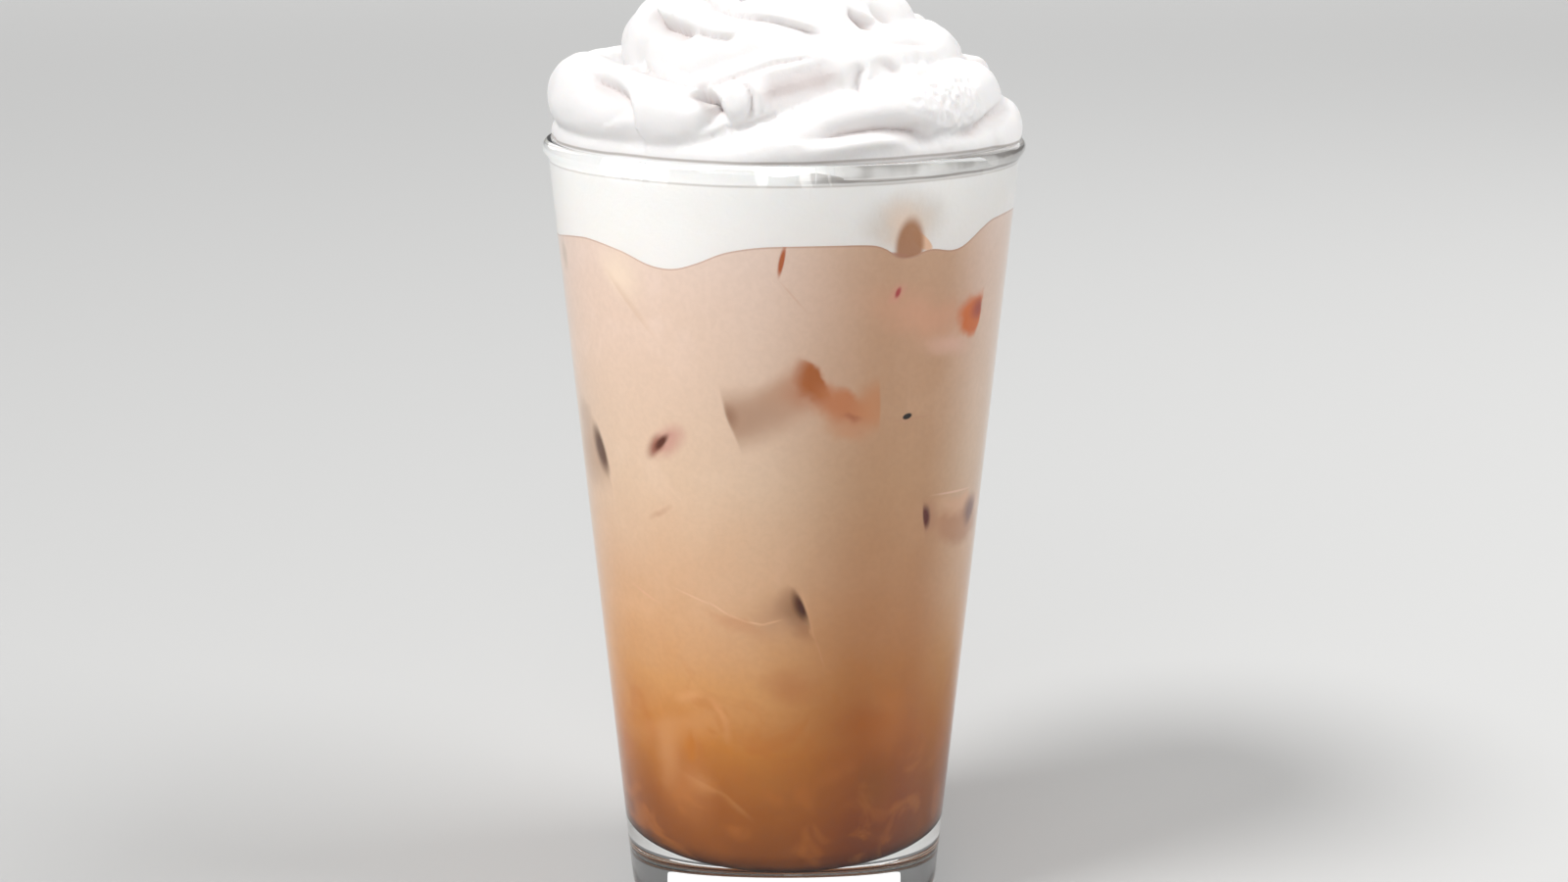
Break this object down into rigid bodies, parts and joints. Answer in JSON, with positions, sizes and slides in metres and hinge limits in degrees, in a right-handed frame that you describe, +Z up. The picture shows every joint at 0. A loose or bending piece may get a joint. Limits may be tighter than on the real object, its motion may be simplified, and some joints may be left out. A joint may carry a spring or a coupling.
{
  "type": "iced white mocha",
  "caption": "Tall conical mixing glass of milky iced coffee with a high piped swirl of whipped cream above the rim.",
  "frame": {"origin": "centre of the glass's foot, on the ground", "axes": "+Z up along the glass's axis, -Y towards the viewer of the picture, +X to the viewer's right"},
  "size_m": [0.089, 0.089, 0.1888],
  "materials": {
    "clear_glass": "clear, polished",
    "milky_coffee": "smooth liquid, pale peach at the top to caramel at the bottom",
    "whipped_cream": "soft, slightly moist"
  },
  "bodies": {
    "root": {"glass": "clear_glass", "coffee": "milky_coffee", "whipped_cream": "whipped_cream"}
  },
  "joints": []
}
